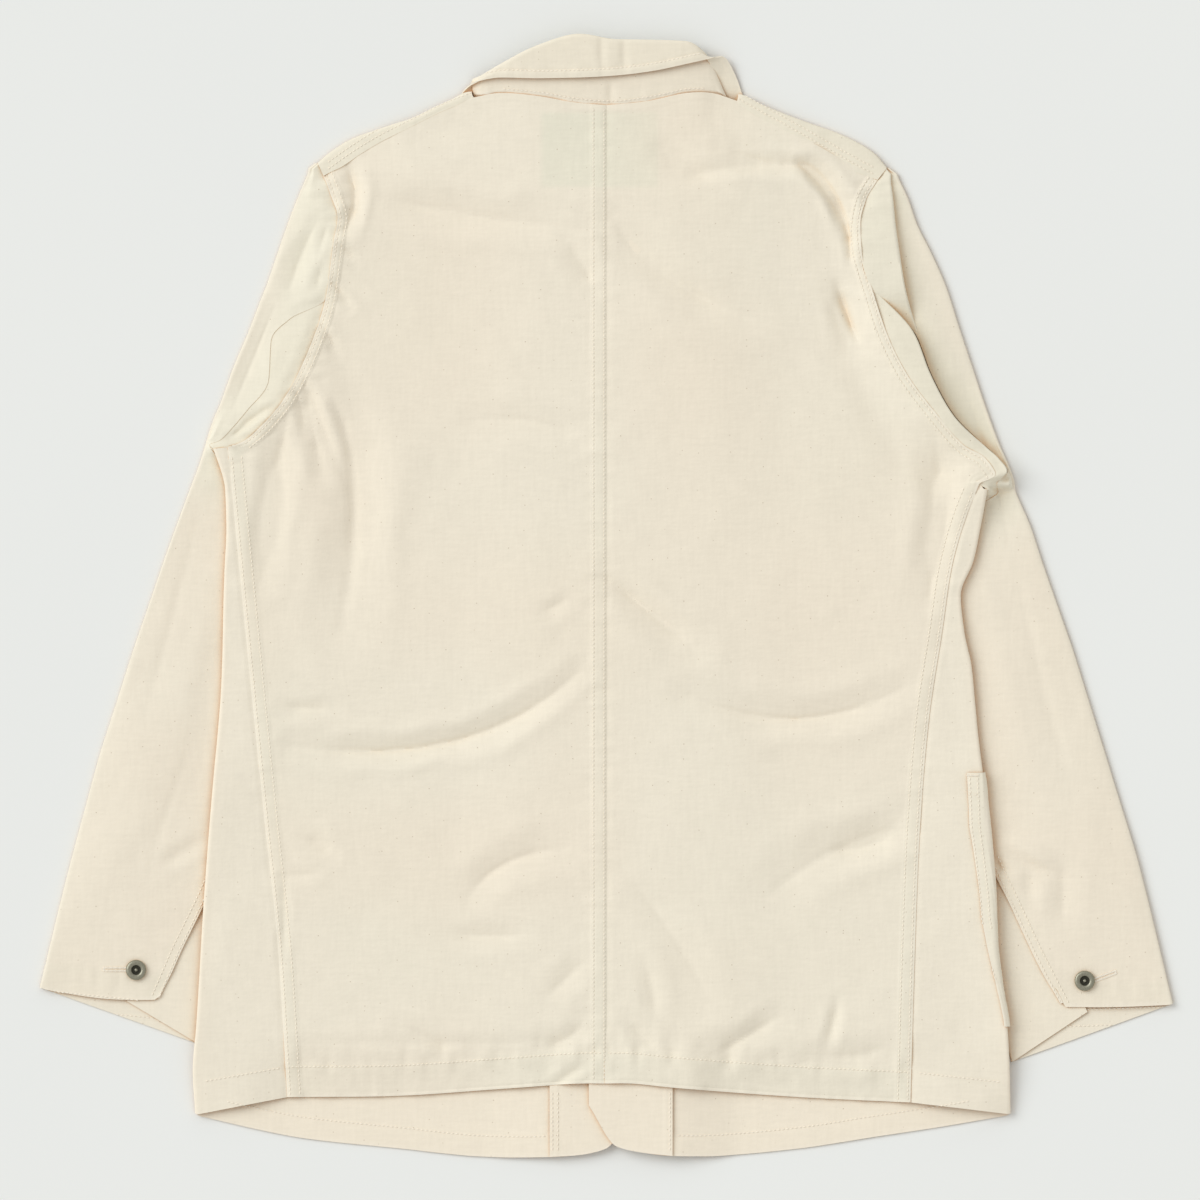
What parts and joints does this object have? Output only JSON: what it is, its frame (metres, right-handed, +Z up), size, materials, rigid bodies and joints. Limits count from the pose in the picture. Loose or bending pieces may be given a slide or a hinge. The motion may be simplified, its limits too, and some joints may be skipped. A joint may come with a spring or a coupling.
{
  "type": "chore jacket",
  "caption": "Collared cotton work jacket with two-piece sleeves, slit cuffs and patch pockets, buttoned and laid flat on its front with its back uppermost.",
  "frame": {"origin": "middle of the laid jacket's outline, on the surface it lies on", "axes": "+Z up from the surface, out of the jacket's back; +Y from hem to collar; +X towards the sleeve on the right as seen from above"},
  "size_m": [0.8386, 0.8315, 0.0203],
  "materials": {
    "drill": "undyed cotton drill, matt",
    "inner_drill": "undyed cotton drill, inner face",
    "label": "plain woven tape",
    "button": "dulled, grey-green"
  },
  "bodies": {
    "root": {"back_left": "drill", "back_right": "drill", "front_left": "inner_drill", "front_right": "inner_drill", "facing_left": "inner_drill", "facing_right": "inner_drill", "sleeve_top_left": "drill", "sleeve_top_right": "drill", "sleeve_under_left": "drill", "sleeve_under_right": "drill", "collar_stand": "drill", "collar_leaf": "drill", "pocket_left": "drill", "pocket_right": "drill", "neck_label": "label", "cuff_button_left": "button", "cuff_button_right": "button", "front_button_1": "button", "front_button_2": "button", "front_button_3": "button", "front_button_4": "button", "front_button_5": "button"}
  },
  "joints": []
}
